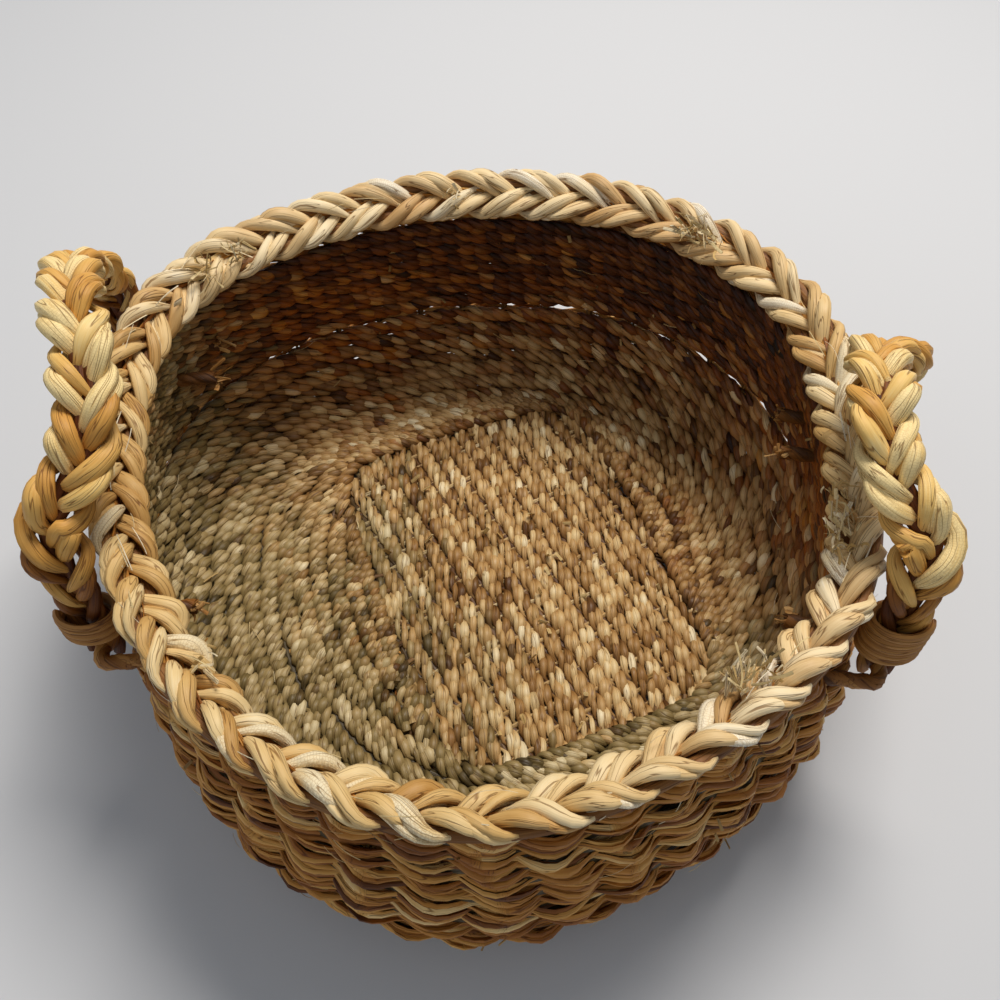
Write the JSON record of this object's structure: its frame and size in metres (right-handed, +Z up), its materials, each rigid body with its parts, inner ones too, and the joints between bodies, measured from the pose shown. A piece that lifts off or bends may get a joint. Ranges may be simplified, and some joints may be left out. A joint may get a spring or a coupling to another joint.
{
  "type": "belly basket",
  "caption": "Low round-bellied basket of twined seagrass with a flat mat floor, a plaited rim and a swinging plaited handle at each side.",
  "frame": {"origin": "on the underside of the floor, under the middle of the rim", "axes": "+Z up out of the mouth, +X from the left handle to the right handle, -Y towards the front"},
  "size_m": [0.3308, 0.3165, 0.186],
  "materials": {
    "mat": "matte",
    "wall": "matte",
    "stake": "matte",
    "rim": "matte",
    "handle": "matte",
    "cord": "matte"
  },
  "bodies": {
    "root": {"base_mat": "mat", "lower_wall": "wall", "upper_wall": "wall", "rim_braid": "rim", "handle_left_front_anchor": "cord", "handle_left_back_anchor": "cord", "handle_right_front_anchor": "cord", "handle_right_back_anchor": "cord", "stake_01": "stake", "stake_02": "stake", "stake_03": "stake", "stake_04": "stake", "stake_05": "stake", "stake_06": "stake", "stake_07": "stake", "stake_08": "stake", "stake_09": "stake", "stake_10": "stake", "stake_11": "stake", "stake_12": "stake", "stake_13": "stake", "stake_14": "stake", "stake_15": "stake", "stake_16": "stake", "stake_17": "stake", "stake_18": "stake", "stake_19": "stake", "stake_20": "stake", "stake_21": "stake", "stake_22": "stake", "stake_23": "stake", "stake_24": "stake", "stake_25": "stake", "stake_26": "stake", "stake_27": "stake", "stake_28": "stake", "stake_29": "stake", "stake_30": "stake", "stake_31": "stake", "stake_32": "stake", "stake_33": "stake", "stake_34": "stake", "stake_35": "stake", "stake_36": "stake", "stake_37": "stake", "stake_38": "stake", "stake_39": "stake", "stake_40": "stake", "stake_41": "stake", "stake_42": "stake", "stake_43": "stake", "stake_44": "stake"},
    "left_handle": {"handle_left": "handle", "handle_left_front_binding": "cord", "handle_left_back_binding": "cord"},
    "right_handle": {"handle_right": "handle", "handle_right_front_binding": "cord", "handle_right_back_binding": "cord"}
  },
  "joints": [
    {"name": "left_handle_swing", "type": "hinge", "parent": "root", "child": "left_handle", "pos_m": [-0.14173, 0.00435, 0.08], "axis": [0.108, -0.9942, 0], "range_deg": [0, 75]},
    {"name": "right_handle_swing", "type": "hinge", "parent": "root", "child": "right_handle", "pos_m": [0.1507, -0.02155, 0.08], "axis": [0.1445, 0.9895, 0], "range_deg": [0, 75]}
  ]
}
